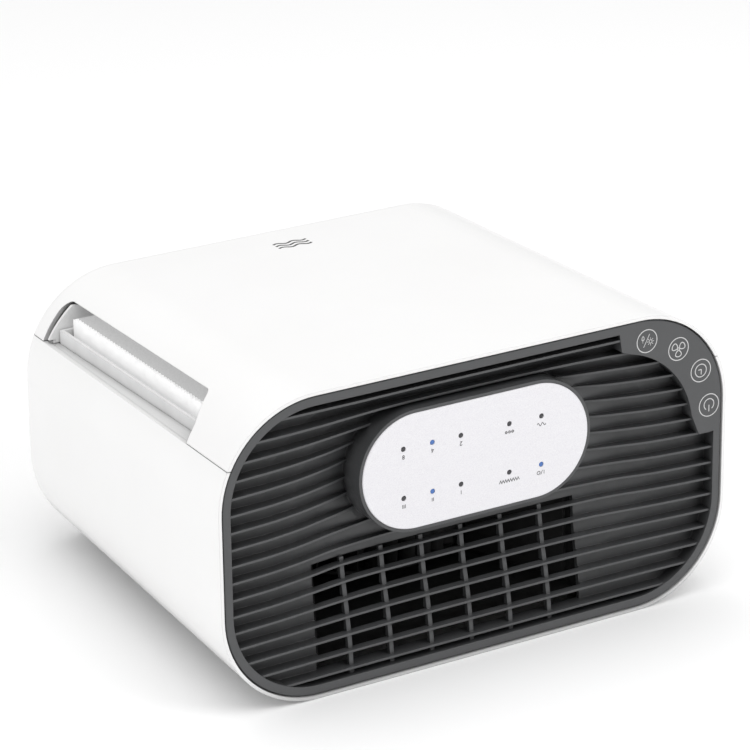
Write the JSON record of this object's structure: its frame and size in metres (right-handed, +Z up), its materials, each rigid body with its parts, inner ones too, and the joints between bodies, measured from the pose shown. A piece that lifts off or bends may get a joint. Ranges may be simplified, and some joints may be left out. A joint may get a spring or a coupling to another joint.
{
  "type": "table-top air purifier",
  "caption": "Rounded box air purifier lying on its back: dished ribbed outlet grille with oval display, lift-up filter cover with side intake slots, filter, fan and ultraviolet lamp inside.",
  "frame": {"origin": "centre of the bounding box's bottom face, on the surface the housing's back lies on", "axes": "+X to the right along the width seen from the grille, +Y from the grille towards the base with the rubber feet, +Z up through the filter cover"},
  "size_m": [0.3, 0.2378, 0.1638],
  "materials": {
    "shell_white": "satin white moulded plastic",
    "panel_grey": "dark grey moulded plastic, fine grain",
    "display_silver": "silver with a fine metallic sparkle",
    "light_pipe": "smoky blue clear plastic",
    "board_green": "printed circuit board",
    "component_black": "moulded electronic parts",
    "inner_white": "white moulded inner plastic",
    "filter_white": "bright white filter edge",
    "inner_grey": "mid grey moulded inner plastic",
    "filter_paper": "folded white filter paper",
    "carbon_felt": "black carbon felt",
    "seal_foam": "soft black foam",
    "tab_film": "blue film",
    "foot_rubber": "grey rubber",
    "screw_steel": "zinc-plated steel",
    "magnet_nickel": "nickel-plated",
    "motor_can": "pressed steel can",
    "shaft_steel": "ground steel",
    "lamp_glass": "clear quartz tube",
    "lamp_cap_metal": "plain aluminium",
    "inlet_black": "black moulded plastic",
    "pin_brass": "brass",
    "lead_black": "black cable insulation"
  },
  "bodies": {
    "housing": {"rear_shell": "shell_white", "intake_liners": "inner_white", "rubber_feet": "foot_rubber", "grille_panel": "panel_grey", "display_panel": "display_silver", "led_light_pipes": "light_pipe", "control_board": "board_green", "control_board_parts": "component_black", "touch_board": "board_green", "filter_bay": "inner_white", "bay_screws": "screw_steel", "magnet_keepers": "inner_white", "reed_sensor": "component_black", "fan_scroll": "inner_grey", "fan_inlet_plate": "inner_grey", "fan_screws": "screw_steel", "motor_plate": "motor_can", "motor_screws": "screw_steel", "fan_motor": "motor_can", "motor_bearings": "shaft_steel", "outlet_seal": "seal_foam", "uvc_lamp": "lamp_glass", "lamp_caps": "lamp_cap_metal", "lamp_holders": "inner_white", "ioniser": "component_black", "power_board": "board_green", "power_board_parts": "component_black", "board_pillars": "inner_white", "power_inlet": "inlet_black", "inlet_pins": "pin_brass", "mains_lead": "lead_black", "motor_lead": "lead_black", "control_lead": "lead_black"},
    "cover": {"front_cover": "shell_white", "cover_magnets": "magnet_nickel"},
    "filter": {"filter_frame": "filter_white", "filter_pleats": "filter_paper", "carbon_sheet": "carbon_felt", "filter_seal": "seal_foam", "pull_tabs": "tab_film"},
    "rotor": {"fan_impeller": "inner_grey", "motor_shaft": "shaft_steel", "shaft_nut": "screw_steel"}
  },
  "joints": [
    {"name": "cover_open", "type": "hinge", "parent": "housing", "child": "cover", "pos_m": [0, 0.11638, 0.12129], "axis": [-1, 0, 0], "range_deg": [0, 75]},
    {"name": "filter_lift", "type": "slide", "parent": "housing", "child": "filter", "axis": [0, 0.0417, 0.9991], "range_m": [0, 0.0601]},
    {"name": "fan_spin", "type": "hinge", "parent": "housing", "child": "rotor", "pos_m": [0, 0.01875, 0.03619], "axis": [0, 0.0417, 0.9991], "continuous": true}
  ],
  "couplings": [
    {"joint": "filter_lift", "follows": "cover_open", "m_per_rad": 0.0458}
  ]
}
